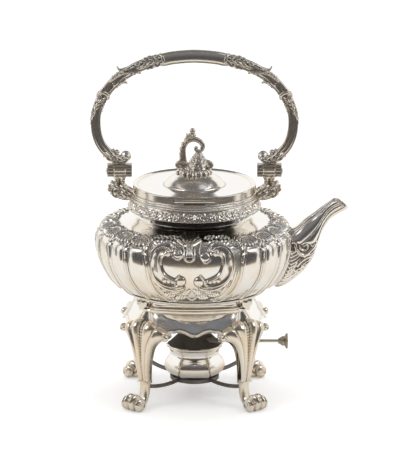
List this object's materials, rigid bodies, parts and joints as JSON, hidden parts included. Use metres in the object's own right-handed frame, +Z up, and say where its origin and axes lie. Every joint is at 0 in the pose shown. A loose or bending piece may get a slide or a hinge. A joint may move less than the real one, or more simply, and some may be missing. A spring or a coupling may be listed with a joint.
{
  "type": "spirit kettle on stand",
  "caption": "Lobed silver kettle with hinged lid, swinging bail handle and spout, tilting on a four-legged stand over a small spirit lamp with a rod-worked wick regulator.",
  "frame": {"origin": "on the kettle's upright axis at the floor that the feet stand on", "axes": "+Z up along the kettle's axis, +X towards the spout, -Y towards the side with the lid's hinge"},
  "size_m": [0.2582, 0.2012, 0.356],
  "materials": {
    "silver": "polished silver, darker in the chasing",
    "dark_iron": "dark oxidised bars",
    "blackened": "heat blackened, satin",
    "brass": "dull brass",
    "knob": "tarnished silver",
    "wick": "woven cotton"
  },
  "bodies": {
    "stand": {"stand_skirt": "silver", "stand_collar": "silver", "leg_front_left": "silver", "leg_front_right": "silver", "leg_back_left": "silver", "leg_back_right": "silver", "lamp_ring": "dark_iron", "stretcher_bars": "dark_iron", "tilt_lugs": "silver", "rest_lugs": "silver", "tilt_pins": "silver"},
    "lamp": {"lamp_bowl": "silver", "lamp_base": "silver", "lamp_cover": "silver", "wick_tube": "brass", "wick": "wick", "burner_cone": "blackened", "rod_bush": "silver"},
    "control": {"regulator_pinion": "brass", "control_rod": "silver", "control_knob": "knob"},
    "regulator": {"wick_regulator": "brass"},
    "kettle": {"kettle_body": "silver", "kettle_shoulder": "silver", "base_moulding": "silver", "kettle_base": "silver", "neck_collar": "silver", "neck_border": "silver", "mouth_rim": "silver", "spout": "silver", "spout_nozzle": "silver", "hinge_lug_left": "silver", "hinge_lug_right": "silver", "lid_hinge_leaf": "silver", "lid_hinge_pin": "silver", "tilt_knuckles": "silver", "rest_studs": "silver"},
    "lid": {"lid_cover": "silver", "lid_bezel": "silver", "lid_hinge_knuckle": "silver", "finial_collar": "silver", "finial": "silver", "finial_nut": "silver"},
    "handle": {"handle_grip": "silver", "handle_arm_left": "silver", "handle_arm_right": "silver", "handle_plate_left": "silver", "handle_plate_right": "silver", "handle_pin_left": "silver", "handle_pin_right": "silver"}
  },
  "joints": [
    {"name": "kettle_tilt", "type": "hinge", "parent": "stand", "child": "kettle", "pos_m": [0.055, 0, 0.107], "axis": [0, 1, 0], "range_deg": [0, 35]},
    {"name": "lid_hinge", "type": "hinge", "parent": "kettle", "child": "lid", "pos_m": [0, -0.0586, 0.2148], "axis": [1, 0, 0], "range_deg": [0, 100]},
    {"name": "handle_swing", "type": "hinge", "parent": "kettle", "child": "handle", "pos_m": [0, 0, 0.2305], "axis": [1, 0, 0], "range_deg": [-90, 90]},
    {"name": "lamp_lift", "type": "slide", "parent": "stand", "child": "lamp", "axis": [0, 0, 1], "range_m": [0, 0.015]},
    {"name": "control_turn", "type": "hinge", "parent": "lamp", "child": "control", "pos_m": [0, -0.012, 0.058], "axis": [1, 0, 0], "range_deg": [0, 120]},
    {"name": "regulator_slide", "type": "slide", "parent": "lamp", "child": "regulator", "axis": [0, 0, 1], "range_m": [0, 0.0051]}
  ],
  "couplings": [
    {"joint": "regulator_slide", "follows": "control_turn", "m_per_rad": 0.0024}
  ]
}
